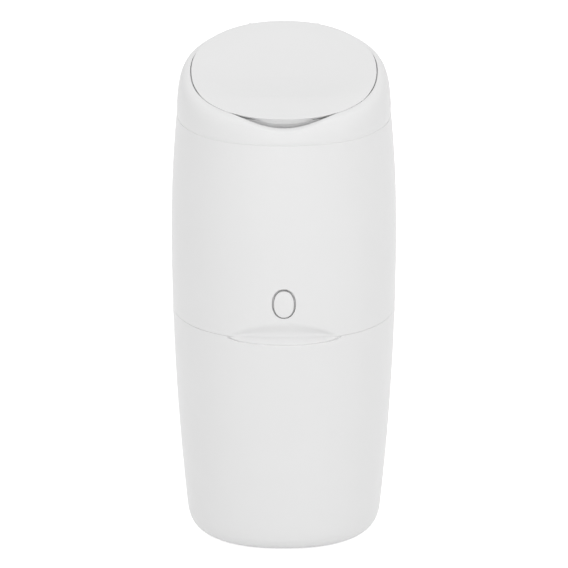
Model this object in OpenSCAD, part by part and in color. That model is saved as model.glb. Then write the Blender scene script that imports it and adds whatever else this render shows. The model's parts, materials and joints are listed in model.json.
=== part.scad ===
// Nappy bin. The upper half tilts back on a rear hinge once its front button lets go of the bucket,
// a slanted lid opens over a ring cassette of film, and two sprung flaps close the throat below it.
// Millimetres, +Z up, front towards -Y, origin on the floor under the middle of the base.

/* [Outline] */
// Greatest width, at the belly
body_w = 236; // [225:1:285]
// Width that the wall runs to at the floor
base_w = 199; // [185:1:225]
// Width at the shoulder line
shoulder_w = 224; // [215:1:245]
// Width across the lid's opening
lid_w = 195; // [190:1:205]
// Squareness of the plan's front half, where 2 is round
plan_n = 2.3; // [2:0.05:3]
// Squareness of its rear half
rear_n = 2.1; // [2:0.05:3]
// Height of the bucket up to the parting
bucket_h = 249; // [200:1:320]
// Height of the upper half, from the parting to the shoulder line
upper_h = 211; // [175:1:260]
// Height of the belly above the parting
belly_up = 81; // [40:1:120]
// Height of the lid's rim plane above the shoulder line, on the middle axis
collar_h = 45.6; // [44:0.2:60]
// Slant of the lid towards the front, in degrees
lid_slant = 12.2; // [6:0.1:14]
// Round of the base edge
base_round = 25.5; // [10:0.5:32]

/* [Walls and gaps] */
// Wall of the moulded shells
wall = 2.5; // [2:0.1:3.5]
// Open line between the halves
part_gap = 0.6; // [0.4:0.1:1.5]
// Open line round the lid
lid_gap = 1; // [0.6:0.1:1.6]
// Clearance between neighbours that slide or lie near
slip = 0.3; // [0.2:0.05:0.5]
// Radial clearance of a pin in its bore
pin_slip = 0.05; // [0.02:0.01:0.1]

/* [Bucket] */
// Width of the stiffening rim inside the bucket's mouth
rim_w = 13; // [10:0.5:16]
// Height of the rubber ring that the bin stands on
foot_h = 2.5; // [2:0.5:5]
// Width of the rubber ring
foot_w = 8; // [5:0.5:12]

/* [Finger scoop] */
// Width of the scoop over the parting
scoop_w = 116; // [80:1:130]
// Height of the scoop
scoop_h = 19; // [12:1:26]
// Depth of the scoop at the parting
scoop_d = 6; // [4:0.5:8]
// Height of the slope below the scoop, down from the bucket's top
scoop_drop = 4.5; // [3.5:0.5:5.5]

/* [Button and latch] */
// Height of the button's centre above the parting
button_up = 39; // [36:1:60]
// Width of the button's opening
button_w = 24; // [18:0.2:29]
// Height of the button's opening
button_h = 31.6; // [24:0.2:38]
// Open line round the button
button_gap = 1.2; // [0.6:0.1:1.6]
// Travel of the button
button_travel = 4; // [3:0.5:5]
// Reach of the hook under the bucket's rim
hook_reach = 2.8; // [2:0.1:3.2]

/* [Lid] */
// Thickness of the lid
lid_t = 3; // [2.5:0.1:4]
// Depth of the dish in the lid
dish = 4; // [0:0.1:5]
// Height of the soft brow near the lid's front
brow = 4; // [0:0.1:5]
// Height of the lid's rear edge over the rim
lid_proud = 1; // [0:0.1:1.5]
// Depth of the seat below the lid's rim plane
seat_d = 5; // [4.5:0.1:7]
// Width of the seat
seat_w = 7; // [5:0.2:9]
// Width of the finger pocket in front of the lid
pocket_w = 103; // [70:1:120]
// Depth of the finger pocket
pocket_d = 8.5; // [6:0.5:12]

/* [Throat and flaps] */
// Bore of the throat
throat_d = 116; // [96:1:140]
// Height of the deck above the parting
deck_up = 171; // [150:1:200]
// Thickness of the deck
deck_t = 3; // [2.5:0.1:4]
// Drop of the throat below the deck
throat_drop = 53; // [45:1:60]
// Thickness of a flap
flap_t = 3; // [2:0.1:4]
// Diameter of the flaps' pins
flap_pin_d = 3; // [2.5:0.1:4]

/* [Cassette] */
// Outer diameter of the cassette
cassette_d = 172; // [140:1:176]
// Height of the cassette
cassette_h = 37; // [28:1:40]

/* [Hinges] */
// Diameter of the tilt hinge's pin
tilt_pin_d = 4; // [3:0.1:6]
// Radius of the tilt hinge's knuckles
tilt_knuckle_r = 5.5; // [4.5:0.1:7]
// Width of the upper half's knuckle
tilt_knuckle_w = 43; // [30:1:60]
// Diameter of the lid hinge's pin
lid_pin_d = 3; // [2:0.1:4]
// Radius of the lid hinge's knuckle
lid_knuckle_r = 4.5; // [3.5:0.1:5]
// Width of the lid hinge's knuckle
lid_knuckle_w = 58; // [40:1:70]

/* [Hidden] */

$fn = 64;
seg = 48;                       // points round the plan of the shells
eps = 0.01;
cut = 60;                       // length of a cut that runs out of the part
part_z = bucket_h;
belly_z = part_z + belly_up;
shoulder_z = part_z + upper_h;
lid_z = shoulder_z + collar_h;
slope = tan(lid_slant);
belly_r = body_w / 2;
base_r = base_w / 2;
shoulder_r = shoulder_w / 2;
lid_r = lid_w / 2;
rim_t = 3;                      // thickness of the bucket's rim
lip_w = 3.5;                    // lip inside the upper half's lower edge
ledge_w = 5;                    // ledge that carries the deck
ledge_t = 3;
edge = 0.8;                     // chamfer on a shell's visible edge

// Tilt hinge
hinge_out = tilt_knuckle_r + 1.5;
hinge_leg = 24;
hinge_side_gap = 0.6;
hinge_lug_w = 8;

// Lid hinge
lid_hinge_out = 7.5;
lid_hinge_drop = 11.6;
lid_ear_w = 8;

// Deck, throat, flaps
deck_z = part_z + deck_up;
throat_r = throat_d / 2;
throat_wall = 2.5;
throat_out = throat_r + throat_wall;
throat_end = deck_z - throat_drop;
throat_lip = 8;                 // how far the throat stands up through the deck
plate_t = 3;                    // flange on the throat, and the plate screwed under it
plate_w = 20;
flange_z = throat_end + 5;
plate_z = flange_z - plate_t;
flap_r = throat_out + 0.5;
flap_top = throat_end - 3;
flap_z = flap_top - flap_t;
pivot_x = throat_r + 8;
pivot_z = flap_z + 1;
barrel_r = 4.2;
barrel_w = 58;
flap_lug_w = 6;
flap_lug_r = 6;
flap_lug_drop = 4.5;
flap_pin_r = flap_pin_d / 2;
flap_parting = 0.6;             // half the open line between the flaps
plate_screw_r = 1.5;
plate_boss_r = 4;
plate_boss_h = 9;
web_t = 2;

// Cassette
cassette_r = cassette_d / 2;
cassette_in = throat_out + 1.5;
cassette_z = deck_z + deck_t;
cassette_top = cassette_z + cassette_h;
channel_wall = 2;
cap_t = 3;

// Long screws through the ledge, the deck and the collar's posts
boss_r = 5;
screw_r = 2;
hole_slip = 0.1;                // radial room of a screw in a hole that it only passes through
boss_h = 14;
screw_grip = 12;                // how far the screws run into the posts
post_clear = 1.2;
clamp_gap = 0.2;

// Button
button_z = part_z + button_up;
front_out = -body_r(button_z);
front_in = front_out + wall;
flange_t = 2;
flange_out = 1.9;
flange_front = front_in + 1.2;  // clear of the bowed wall all over the flange
flange_back = flange_front + flange_t;
guide_front = flange_back + button_travel + 0.4;
block_w = button_w - 1.2;
block_h = button_h - 6.4;
cheek_t = 2.9;
guide_face = front_in + 4.6;
arm_t = 3;
arm_w = 16;
hook_top = part_z - part_gap / 2 - rim_t - 0.5;
hook_h = 6.5;
rim_edge = -(body_r(part_z) - rim_w);
arm_front = rim_edge + 2.7;
block_back = arm_front + arm_t;
spring_len = 14;
guide_back = block_back + spring_len;
guide_tab_t = 4.5;
guide_tab_h = 12;
short_screw_r = 1.25;
seat_boss_r = 4;
guide_screw_x = button_w / 2 + flange_out + seat_boss_r + 1.5;
short_bore = 6;

// Film cutter
cutter_z = part_z + 66;
cutter_in = body_r(cutter_z) - wall;
cutter_face = cutter_in - 7.4;
cutter_len = 44;
cutter_h = 26;
cutter_deep = 12;
cutter_slot = 3;
cutter_slot_h = 8;
cutter_sink = 7;                // depth of the seats for the screws' heads

// Plan of the shells: a rounded square, rounder behind than in front
function bend(c, n) = sign(c) * pow(abs(c), 2 / n);
function plan_pt(r, a) = let (n = cos(a) > 0 ? plan_n : rear_n) [r * bend(sin(a), n), -r * bend(cos(a), n)];
function rear_y(r, x) = r * pow(1 - pow(abs(x) / r, rear_n), 1 / rear_n);
function turn(i) = 360 * i / seg;

// Half width of the body at a height: two soft bows that meet upright at the belly
function bow(t) = t * t;
function body_r(z) = z < belly_z
    ? belly_r - (belly_r - base_r) * bow((belly_z - z) / belly_z)
    : belly_r - (belly_r - shoulder_r) * bow((z - belly_z) / (shoulder_z - belly_z));

function plane_z(y) = lid_z + slope * y;
function ramp(t) = t <= 0 ? 0 : t >= 1 ? 1 : t * t * (3 - 2 * t);

// Push of the finger scoop into the front wall, and of the slope below it into the bucket's top
scoop_end = 16;
function scoop_side(x) = ramp((scoop_w / 2 - abs(x)) / scoop_end);
function scoop(x, z) = scoop_d * scoop_side(x) * ramp((part_z + scoop_h - z) / (0.8 * scoop_h));
function scoop_slope(z) = scoop_d * (z - bucket_top + scoop_drop) / scoop_drop;

function ring(r, z) = [for (i = [0:seg - 1]) let (p = plan_pt(r, turn(i))) [p.x, p.y, z]];
function scooped_ring(r, z) = [for (p = ring(r, z)) [p.x, p.y + (p.y < 0 ? scoop(p.x, z) : 0), z]];
function pushed_ring(r, z, d) = [for (p = ring(r, z)) [p.x, p.y + (p.y < 0 ? d * scoop_side(p.x) : 0), z]];
function slant_ring(r, dz) = [for (p = ring(r, 0)) [p.x, p.y, plane_z(p.y) + dz]];

// A skin over a list of rings, capped at both ends, or closed on itself
module loft(rings, tube = false) {
    n = len(rings[0]);
    m = len(rings);
    skin = [for (k = [0:tube ? m - 1 : m - 2], i = [0:n - 1])
        let (k2 = (k + 1) % m, j = (i + 1) % n)
        each [[k * n + i, k2 * n + i, k2 * n + j], [k * n + i, k2 * n + j, k * n + j]]];
    caps = tube ? [] : [[for (i = [0:n - 1]) i], [for (i = [n - 1:-1:0]) (m - 1) * n + i]];
    polyhedron([for (r = rings) each r], concat(skin, caps), convexity = 10);
}

// A 2D outline in Y and Z, drawn along X
module along_x(x, length) translate([x, 0, 0]) rotate([90, 0, 90]) linear_extrude(length) children();

// A rod along one axis, starting at a point
module rod_x(p, r, length) translate(p) rotate([0, 90, 0]) cylinder(r = r, h = length);
module rod_y(p, r, length) translate(p) rotate([-90, 0, 0]) cylinder(r = r, h = length);

// The button's outline, an upright oval a little squarer than an ellipse
oval_n = 2.2;
module oval_y(w, h, y0, y1) translate([0, y1, button_z]) rotate([90, 0, 0]) linear_extrude(y1 - y0)
    polygon([for (a = [0:7.5:352.5]) [w / 2 * bend(sin(a), oval_n), h / 2 * bend(cos(a), oval_n)]]);

// A pan head screw, head up from z = 0, shank down
module screw(r, length) {
    translate([0, 0, -length]) cylinder(r = r, h = length + eps);
    difference() {
        cylinder(r1 = 2 * r, r2 = 1.6 * r, h = 1.2 * r);
        translate([0, 0, 0.6 * r]) cylinder(r = 0.9 * r, h = r, $fn = 6);
    }
}

// Frame screw places, on the diagonals of the plan
function boss_at(a) = plan_pt(body_r(shoulder_z) - wall - boss_r - post_clear, a);
boss_turns = [45:90:315];
function boss_web(a) = norm(plan_pt(body_r(deck_z) - wall / 2, a)) - norm(boss_at(a));
module at_bosses() for (a = boss_turns) translate(concat(boss_at(a), 0)) children();

// Wire springs: a tube of 6 sides over a path, turned about an axis
function unit(v) = v / norm(v);
function way(path, i) = unit(path[min(i + 1, len(path) - 1)] - path[max(i - 1, 0)]);
function wire_ring(p, t, axis, r) =
    let (n = unit(cross(t, axis)), b = cross(t, n))
    [for (k = [0:5]) p + r * (cos(60 * k) * n + sin(60 * k) * b)];
module wire(path, axis, d) loft([for (i = [0:len(path) - 1]) wire_ring(path[i], way(path, i), axis, d / 2)]);
function least_gap(path, d, apart) = min([for (i = [0:len(path) - 1])
    for (j = [i + apart:1:len(path) - 1]) norm(path[i] - path[j])]) - d;
steps = 8;                      // rings in one curl

// Bucket

bucket_top = part_z - part_gap / 2;
base_n = 3;                     // squareness of the base edge's round
base_turns = [0, 5, 15, 30, 45, 60, 75, 85, 90];
inner_round = base_round - wall;
function bucket_rings() = concat(
    [for (q = base_turns) let (z = foot_h + base_round * (1 - bend(cos(q), base_n)))
        ring(body_r(z) - base_round * (1 - bend(sin(q), base_n)), z)],
    [for (t = [0.25, 0.5, 0.75]) let (z = foot_h + base_round + t * (bucket_top - base_round - foot_h))
        ring(body_r(z), z)],
    [ring(body_r(part_z), bucket_top - scoop_drop)],
    [for (q = [0:45:90]) let (in = rim_t * (1 - cos(q)), z = bucket_top - rim_t * (1 - sin(q)))
        pushed_ring(body_r(part_z) - in, z, scoop_slope(z) - in)],
    [ring(body_r(part_z) - rim_w, bucket_top),
     ring(body_r(part_z) - rim_w, bucket_top - rim_t),
     pushed_ring(body_r(part_z) - wall, bucket_top - rim_t, wall),
     ring(body_r(part_z) - wall, bucket_top - rim_t - 2 * wall)],
    [for (t = [0.66, 0.33]) let (z = foot_h + base_round + t * (bucket_top - base_round - foot_h))
        ring(body_r(z) - wall, z)],
    [for (q = [90, 75, 45, 15, 0]) let (z = foot_h + wall + inner_round * (1 - bend(cos(q), base_n)))
        ring(body_r(z) - wall - inner_round * (1 - bend(sin(q), base_n)), z)]
);

foot_r = base_r - base_round - 2;
foot_groove = 1;
hinge_y = body_r(part_z) + hinge_out;
lug_x = tilt_knuckle_w / 2 + hinge_side_gap;

// A knuckle of the tilt hinge and its leg, which runs to the wall above or below
module tilt_knuckle(x, length, side) {
    root = rear_y(body_r(part_z), abs(x) + (side > 0 ? 0 : length / 2)) - (side > 0 ? 0.4 : 0.5) * wall;
    along_x(x, length) {
        translate([hinge_y, part_z]) circle(r = tilt_knuckle_r);
        polygon([[hinge_y + tilt_knuckle_r, part_z], [hinge_y, part_z],
            [root, part_z + side], [root, part_z + side * hinge_leg]]);
    }
}
module tilt_bore() rod_x([-cut, hinge_y, part_z], tilt_pin_d / 2 + pin_slip, 2 * cut);

module lower_bucket() color("white") difference() {
    union() {
        loft(bucket_rings());
        for (s = [0, 1]) mirror([s, 0, 0]) tilt_knuckle(lug_x, hinge_lug_w, -1);
    }
    tilt_bore();
    translate([0, 0, foot_h - eps]) difference() {
        cylinder(r = foot_r, h = foot_groove + eps);
        translate([0, 0, -eps]) cylinder(r = foot_r - foot_w, h = foot_groove + 3 * eps);
    }
}

module foot_ring() color("gray") difference() {
    cylinder(r = foot_r, h = foot_h + foot_groove);
    translate([0, 0, -eps]) cylinder(r = foot_r - foot_w, h = foot_h + foot_groove + 2 * eps);
}

module tilt_hinge_pin() color("silver")
    rod_x([-lug_x - hinge_lug_w - 0.5, hinge_y, part_z], tilt_pin_d / 2, 2 * (lug_x + hinge_lug_w + 0.5));

// Upper half

upper_z = part_z + part_gap / 2;
scoop_steps = [0.33, 0.5, 0.66, 0.83, 1];
function upper_rings() = concat(
    [scooped_ring(body_r(part_z) - edge, upper_z), scooped_ring(body_r(part_z), upper_z + edge)],
    [for (t = scoop_steps) let (z = part_z + t * scoop_h) scooped_ring(body_r(z), z)],
    [for (t = [0.5, 1]) let (z = part_z + scoop_h + t * (belly_up - scoop_h)) ring(body_r(z), z)],
    [for (t = [0.25, 0.5, 0.75]) let (z = belly_z + t * (upper_h - belly_up)) ring(body_r(z), z)],
    [ring(body_r(shoulder_z), shoulder_z - edge), ring(body_r(shoulder_z) - edge, shoulder_z)],
    [ring(body_r(shoulder_z) - wall, shoulder_z),
     ring(body_r(deck_z) - wall, deck_z),
     ring(body_r(deck_z) - wall - ledge_w, deck_z),
     ring(body_r(deck_z) - wall - ledge_w, deck_z - ledge_t),
     ring(body_r(deck_z) - wall, deck_z - ledge_t - ledge_w)],
    [for (t = [0.5, 0.25]) let (z = part_z + scoop_h + t * (upper_h - scoop_h)) ring(body_r(z) - wall, z)],
    [for (i = [len(scoop_steps) - 1:-1:0]) let (z = part_z + scoop_steps[i] * scoop_h)
        scooped_ring(body_r(z) - wall, z)],
    [scooped_ring(body_r(part_z) - wall, upper_z + wall),
     scooped_ring(body_r(part_z) - wall - lip_w, upper_z + wall),
     scooped_ring(body_r(part_z) - wall - lip_w, upper_z)]
);

module upper_housing() color("white") difference() {
    union() {
        loft(upper_rings(), tube = true);
        tilt_knuckle(-tilt_knuckle_w / 2, tilt_knuckle_w, 1);
        // bosses under the ledge for the frame screws, each with a web to the wall
        for (a = boss_turns) translate(concat(boss_at(a), deck_z - boss_h))
            rotate([0, 0, a - 90]) linear_extrude(boss_h - clamp_gap) {
                circle(r = boss_r);
                translate([0, -boss_r]) square([boss_web(a), 2 * boss_r]);
            }
        // seats of the button guide
        for (s = [-1, 1]) rod_y([s * guide_screw_x, front_out + wall / 2, button_z], seat_boss_r,
            guide_face - front_out - wall / 2);
        // seats of the film cutter
        for (s = [-1, 1]) rod_x([cutter_face, s * cutter_len / 4, cutter_z], seat_boss_r,
            cutter_in - cutter_face + wall / 2);
    }
    tilt_bore();
    oval_y(button_w, button_h, front_out - cut, front_in + wall);
    at_bosses() translate([0, 0, deck_z - boss_h - eps])
        cylinder(r = screw_r + hole_slip, h = boss_h + 2 * eps);
    for (s = [-1, 1]) rod_y([s * guide_screw_x, guide_face - 4, button_z], short_screw_r + pin_slip, 4 + eps);
    for (s = [-1, 1]) rod_x([cutter_face - eps, s * cutter_len / 4, cutter_z], short_screw_r + pin_slip,
        short_bore);
}

// Collar

round_to = 78;                  // how far round its quarter turn the collar's bow runs, in degrees
collar_turns = [15, 30, 42, 53, 62, 69, 74, 77, round_to];
function collar_r(q) = lid_r
    + (shoulder_r - lid_r) * sqrt(max(0, (cos(q) - cos(round_to)) / (1 - cos(round_to))));
function collar_ring(r, f) = [for (i = [0:seg - 1])
    let (p = plan_pt(r, turn(i)), top = plane_z(plan_pt(lid_r, turn(i)).y))
    [p.x, p.y, shoulder_z + f * (top - shoulder_z)]];
function collar_outer() = concat(
    [ring(shoulder_r - edge, shoulder_z), ring(shoulder_r, shoulder_z + edge)],
    [for (q = collar_turns) collar_ring(collar_r(q), sin(q) / sin(round_to))]
);
seat_r = lid_r - seat_w;
function collar_inner() = [
    slant_ring(lid_r, -seat_d), slant_ring(seat_r, -seat_d), slant_ring(seat_r, -seat_d - wall),
    slant_ring(lid_r - 2, -seat_d - 2 * wall), collar_ring(shoulder_r - 1.8 * wall, 0.3),
    ring(shoulder_r - wall, shoulder_z)
];
pocket_r = (pocket_w * pocket_w / 4 + pocket_d * pocket_d) / (2 * pocket_d);
pocket_back = 3;                // how far the pocket runs in under the lid
module pocket(grow) rod_y([0, -shoulder_r - cut, plane_z(-lid_r) + pocket_r - pocket_d],
    pocket_r + grow, cut + shoulder_r - lid_r + pocket_back + grow);

lid_hinge_y = lid_r + lid_hinge_out;
lid_hinge_z = plane_z(lid_hinge_y) - lid_hinge_drop;
ear_x = lid_knuckle_w / 2 + hinge_side_gap;

// The way of the lid's tongue over the rear rim, and room for its knuckle
module tongue_notch() along_x(-ear_x, 2 * ear_x) {
    translate([lid_hinge_y, lid_hinge_z]) circle(r = lid_knuckle_r + 0.8);
    polygon([[lid_r - 5, plane_z(lid_r) + cut], [lid_r - 5, plane_z(lid_r) - seat_d],
        [lid_r, plane_z(lid_r) - seat_d - 1], [lid_hinge_y - 4.6, lid_hinge_z - 2.6],
        [lid_hinge_y, lid_hinge_z - lid_knuckle_r - 0.8],
        [lid_hinge_y + cut, lid_hinge_z - lid_knuckle_r - 0.8],
        [lid_hinge_y + cut, plane_z(lid_r) + cut]]);
}

module top_collar() color("white") difference() {
    union() {
        loft(concat(collar_outer(), collar_inner()), tube = true);
        // floor and back wall of the finger pocket
        difference() {
            intersection() {
                loft(collar_outer());
                pocket(wall);
            }
            loft([slant_ring(lid_r, -seat_d), slant_ring(lid_r, cut)]);
        }
        // ears that hold the lid's pin
        for (s = [0, 1]) mirror([s, 0, 0])
            rod_x([ear_x, lid_hinge_y, lid_hinge_z], lid_knuckle_r + 0.7, lid_ear_w);
        // posts that the frame screws pull on, with the deck between
        for (a = boss_turns) let (p = boss_at(a), top = plane_z(plan_pt(lid_r, a).y))
            translate([p.x, p.y, deck_z + deck_t])
                cylinder(r = boss_r, h = shoulder_z - deck_z - deck_t + 0.5 * (top - shoulder_z));
    }
    pocket(0);
    tongue_notch();
    rod_x([-cut, lid_hinge_y, lid_hinge_z], lid_pin_d / 2 + pin_slip, 2 * cut);
    at_bosses() translate([0, 0, deck_z + deck_t - eps]) cylinder(r = screw_r + pin_slip, h = screw_grip + 2);
}

module lid_hinge_pin() color("silver")
    rod_x([-ear_x - lid_ear_w + 0.5, lid_hinge_y, lid_hinge_z], lid_pin_d / 2, 2 * (ear_x + lid_ear_w - 0.5));

// Deck and throat

module chute() color("whitesmoke") difference() {
    union() {
        translate([0, 0, deck_z]) linear_extrude(deck_t)
            polygon([for (i = [0:seg - 1]) plan_pt(body_r(deck_z + deck_t) - wall - slip, turn(i))]);
        translate([0, 0, throat_end]) cylinder(r = throat_out, h = throat_drop + deck_t + throat_lip);
        translate([0, 0, flange_z]) cylinder(r = throat_out + plate_w, h = plate_t);
        at_plate_screws() translate([0, 0, flange_z]) cylinder(r = plate_boss_r, h = plate_boss_h);
        // webs between the throat and the deck
        for (a = [0:45:315]) rotate([0, 0, a + 22.5]) translate([throat_out - 1, -web_t / 2, flange_z])
            cube([plate_w - 2, web_t, deck_z - flange_z + eps]);
    }
    translate([0, 0, throat_end - eps])
        cylinder(r = throat_r, h = throat_drop + deck_t + throat_lip + 2 * eps);
    at_plate_screws() translate([0, 0, flange_z - eps])
        cylinder(r = plate_screw_r + pin_slip, h = plate_boss_h - 1);
    at_bosses() translate([0, 0, deck_z - eps]) cylinder(r = screw_r + hole_slip, h = deck_t + 2 * eps);
}

module frame_screws() color("silver") at_bosses() translate([0, 0, deck_z - boss_h]) mirror([0, 0, 1])
    screw(screw_r, boss_h + deck_t + screw_grip);

module at_plate_screws() for (a = [45:90:315]) rotate([0, 0, a])
    translate([throat_out + plate_w / 2 + 2, 0, 0]) children();

module jaw_frame() color("gainsboro") difference() {
    union() {
        translate([0, 0, plate_z]) cylinder(r = throat_out + plate_w, h = plate_t);
        for (s = [-1, 1], t = [0, 1]) mirror([0, t, 0])
            translate([s * pivot_x - flap_lug_r, barrel_w / 2 + hinge_side_gap, pivot_z - flap_lug_drop])
                cube([2 * flap_lug_r, flap_lug_w, plate_z - pivot_z + flap_lug_drop + eps]);
    }
    translate([0, 0, plate_z - eps]) cylinder(r = throat_out + 0.5, h = plate_t + 2 * eps);
    at_plate_screws() translate([0, 0, plate_z - eps])
        cylinder(r = plate_screw_r + hole_slip, h = plate_t + 2 * eps);
    for (s = [-1, 1]) rod_y([s * pivot_x, -cut, pivot_z], flap_pin_r + pin_slip, 2 * cut);
}

module jaw_frame_screws() color("silver") at_plate_screws() translate([0, 0, plate_z]) mirror([0, 0, 1])
    screw(plate_screw_r, plate_boss_h);

// Flaps of the throat

// A torsion spring on a flap's pin: a leg under the frame, a few curls, a leg under the flap
coil_d = 1.2;
coil_r = flap_pin_r + 0.4 + coil_d / 2;
coil_pitch = 1.7;
coil_curls = 3.25;
coil_y = barrel_w / 2 + hinge_side_gap + flap_lug_w + 1;
coil_end = coil_y + coil_pitch * coil_curls;
coil_leg_x = sqrt(flap_r * flap_r - coil_end * coil_end) - 4;
function coil_turn(a) = [pivot_x + coil_r * cos(a), coil_y - coil_pitch * a / 360, pivot_z + coil_r * sin(a)];
coil_path = concat(
    [[pivot_x + coil_r, coil_y, plate_z - slip]],
    [for (i = [0:steps * coil_curls]) coil_turn(-360 * i / steps)],
    [[coil_leg_x, coil_end, flap_z - slip - coil_d / 2]]
);

module jaw_spring() wire(coil_path, [0, 1, 0], coil_d);

pin_proud = 1.5;                // how far a pin stands out at its ends
pin_foot = -barrel_w / 2 - hinge_side_gap - flap_lug_w - pin_proud;
module jaw_pin(s) color("silver") rod_y([s * pivot_x, pin_foot, pivot_z], flap_pin_r,
    coil_end + coil_d + pin_proud - pin_foot);

flap_root = 16;                 // tongue from the flap's disc to its barrel
flap_rib_y = 19;
flap_rib_h = 4;
module jaw() difference() {
    union() {
        intersection() {
            translate([0, 0, flap_z]) cylinder(r = flap_r, h = flap_t);
            translate([flap_parting, -flap_r, flap_z]) cube([flap_r, 2 * flap_r, flap_t]);
        }
        translate([pivot_x - flap_root, -barrel_w / 2 + 3, flap_z - 0.5])
            cube([flap_root, barrel_w - 6, flap_t + 0.5]);
        rod_y([pivot_x, -barrel_w / 2, pivot_z], barrel_r, barrel_w);
        for (s = [-1, 1]) translate([4, s * flap_rib_y - web_t / 2, flap_z - flap_rib_h])
            cube([pivot_x - flap_root - 2, web_t, flap_rib_h + eps]);
    }
    rod_y([pivot_x, -cut, pivot_z], flap_pin_r + pin_slip, 2 * cut);
}

flap_seal_w = 4;
flap_seal_t = throat_end - flap_top - slip;
module jaw_seal() intersection() {
    translate([0, 0, flap_top]) difference() {
        cylinder(r = flap_r - 0.2, h = flap_seal_t);
        translate([0, 0, -eps]) cylinder(r = flap_r - flap_seal_w, h = flap_seal_t + 2 * eps);
    }
    translate([flap_parting + 0.4, -flap_r, flap_top]) cube([flap_r, 2 * flap_r, flap_seal_t]);
}

module left_jaw_pin() jaw_pin(-1);
module right_jaw_pin() jaw_pin(1);
module right_jaw() color("gainsboro") jaw();
module left_jaw() color("gainsboro") mirror([1, 0, 0]) jaw();
module right_jaw_seal() color("dimgray") jaw_seal();
module left_jaw_seal() color("dimgray") mirror([1, 0, 0]) jaw_seal();
module right_jaw_spring() color("silver") jaw_spring();
module left_jaw_spring() color("silver") mirror([1, 0, 0]) jaw_spring();

// Refill cassette, a ring channel with folded film under a cap

feed_gap = 8;                   // height that the film leaves through, over the inner wall
cap_over = 1;
module cassette_body() color("aliceblue") rotate_extrude() polygon([
    [cassette_in, cassette_z], [cassette_r, cassette_z], [cassette_r, cassette_top],
    [cassette_r - channel_wall, cassette_top], [cassette_r - channel_wall, cassette_z + channel_wall],
    [cassette_in + channel_wall, cassette_z + channel_wall],
    [cassette_in + channel_wall, cassette_top - feed_gap], [cassette_in, cassette_top - feed_gap]
]);

module cassette_cap() color("lightsteelblue") rotate_extrude() polygon([
    [cassette_in + 2 * channel_wall, cassette_top], [cassette_r + cap_over, cassette_top],
    [cassette_r + cap_over, cassette_top + cap_t - 1], [cassette_r + cap_over - 1, cassette_top + cap_t],
    [cassette_in + 2 * channel_wall + 1, cassette_top + cap_t],
    [cassette_in + 2 * channel_wall, cassette_top + cap_t - 1]
]);

folds = 12;
fold_deep = 1.2;
film_in = cassette_in + channel_wall + 1;
film_out = cassette_r - channel_wall - 1;
film_h = cassette_h - channel_wall - 5;
module film_pack() color("white") translate([0, 0, cassette_z + channel_wall]) rotate_extrude()
    polygon(concat(
        [for (i = [0:2 * folds]) [film_out - fold_deep * (i % 2), film_h * i / (2 * folds)]],
        [for (i = [2 * folds:-1:0]) [film_in + fold_deep * (i % 2), film_h * i / (2 * folds)]]
    ));

// Film cutter on the right wall

blade_w = 11.6;
blade_t = 0.6;
blade_z = cutter_z - cutter_h / 2 + 4.1;
module cutter_guard() color("whitesmoke") difference() {
    translate([cutter_face - cutter_deep, -cutter_len / 2, cutter_z - cutter_h / 2])
        cube([cutter_deep, cutter_len, cutter_h]);
    // slot that takes the film, open below and at both ends
    translate([cutter_face - (cutter_deep + cutter_slot) / 2, -cutter_len / 2 - eps,
        cutter_z - cutter_h / 2 - eps]) cube([cutter_slot, cutter_len + 2 * eps, cutter_slot_h]);
    // seat of the blade
    translate([cutter_face - cutter_deep - eps, -blade_w / 2 - 0.2, blade_z - 0.1])
        cube([cutter_deep - 2, blade_w + 0.4, blade_t + 0.4]);
    for (s = [-1, 1]) rod_x([cutter_face - cutter_deep - eps, s * cutter_len / 4, cutter_z],
        short_screw_r + hole_slip, cutter_deep + 2 * eps);
    for (s = [-1, 1]) rod_x([cutter_face - cutter_deep - eps, s * cutter_len / 4, cutter_z], 3,
        cutter_sink + eps);
}

module cutter_blade() color("silver")
    translate([cutter_face - cutter_deep + 1, -blade_w / 2, blade_z])
        cube([cutter_deep - 3.5, blade_w, blade_t]);

module cutter_screws() color("silver") for (s = [-1, 1])
    translate([cutter_face - cutter_deep + cutter_sink, s * cutter_len / 4, cutter_z]) rotate([0, -90, 0])
        screw(short_screw_r, 9);

// Button, slide with hook, guide and spring

cap_edge = 0.4;                 // step of the button's softened edge
module button_cap() color("white") {
    oval_y(button_w - 2 * button_gap, button_h - 2 * button_gap, front_out + cap_edge, flange_front);
    oval_y(button_w - 2 * (button_gap + cap_edge), button_h - 2 * (button_gap + cap_edge), front_out,
        front_out + cap_edge + eps);
    oval_y(button_w + 2 * flange_out, button_h + 2 * flange_out, flange_front, flange_back);
}

module latch_slide() color("gainsboro") {
    translate([-block_w / 2, flange_back, button_z - block_h / 2])
        cube([block_w, block_back - flange_back, block_h]);
    along_x(-arm_w / 2, arm_w) polygon([
        [block_back, button_z - block_h / 2 + eps], [arm_front, button_z - block_h / 2 + eps],
        [arm_front, hook_top],
        [rim_edge - hook_reach, hook_top], [rim_edge - hook_reach, hook_top - 2],
        [arm_front, hook_top - hook_h], [block_back, hook_top - hook_h]
    ]);
    // rib up the back of the arm
    along_x(-arm_t / 2, arm_t) polygon([
        [block_back - eps, button_z - block_h / 2 + 3], [block_back + 4, button_z - block_h / 2 + 3],
        [block_back + 4, part_z + 10], [block_back - eps, part_z]
    ]);
}

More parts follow.
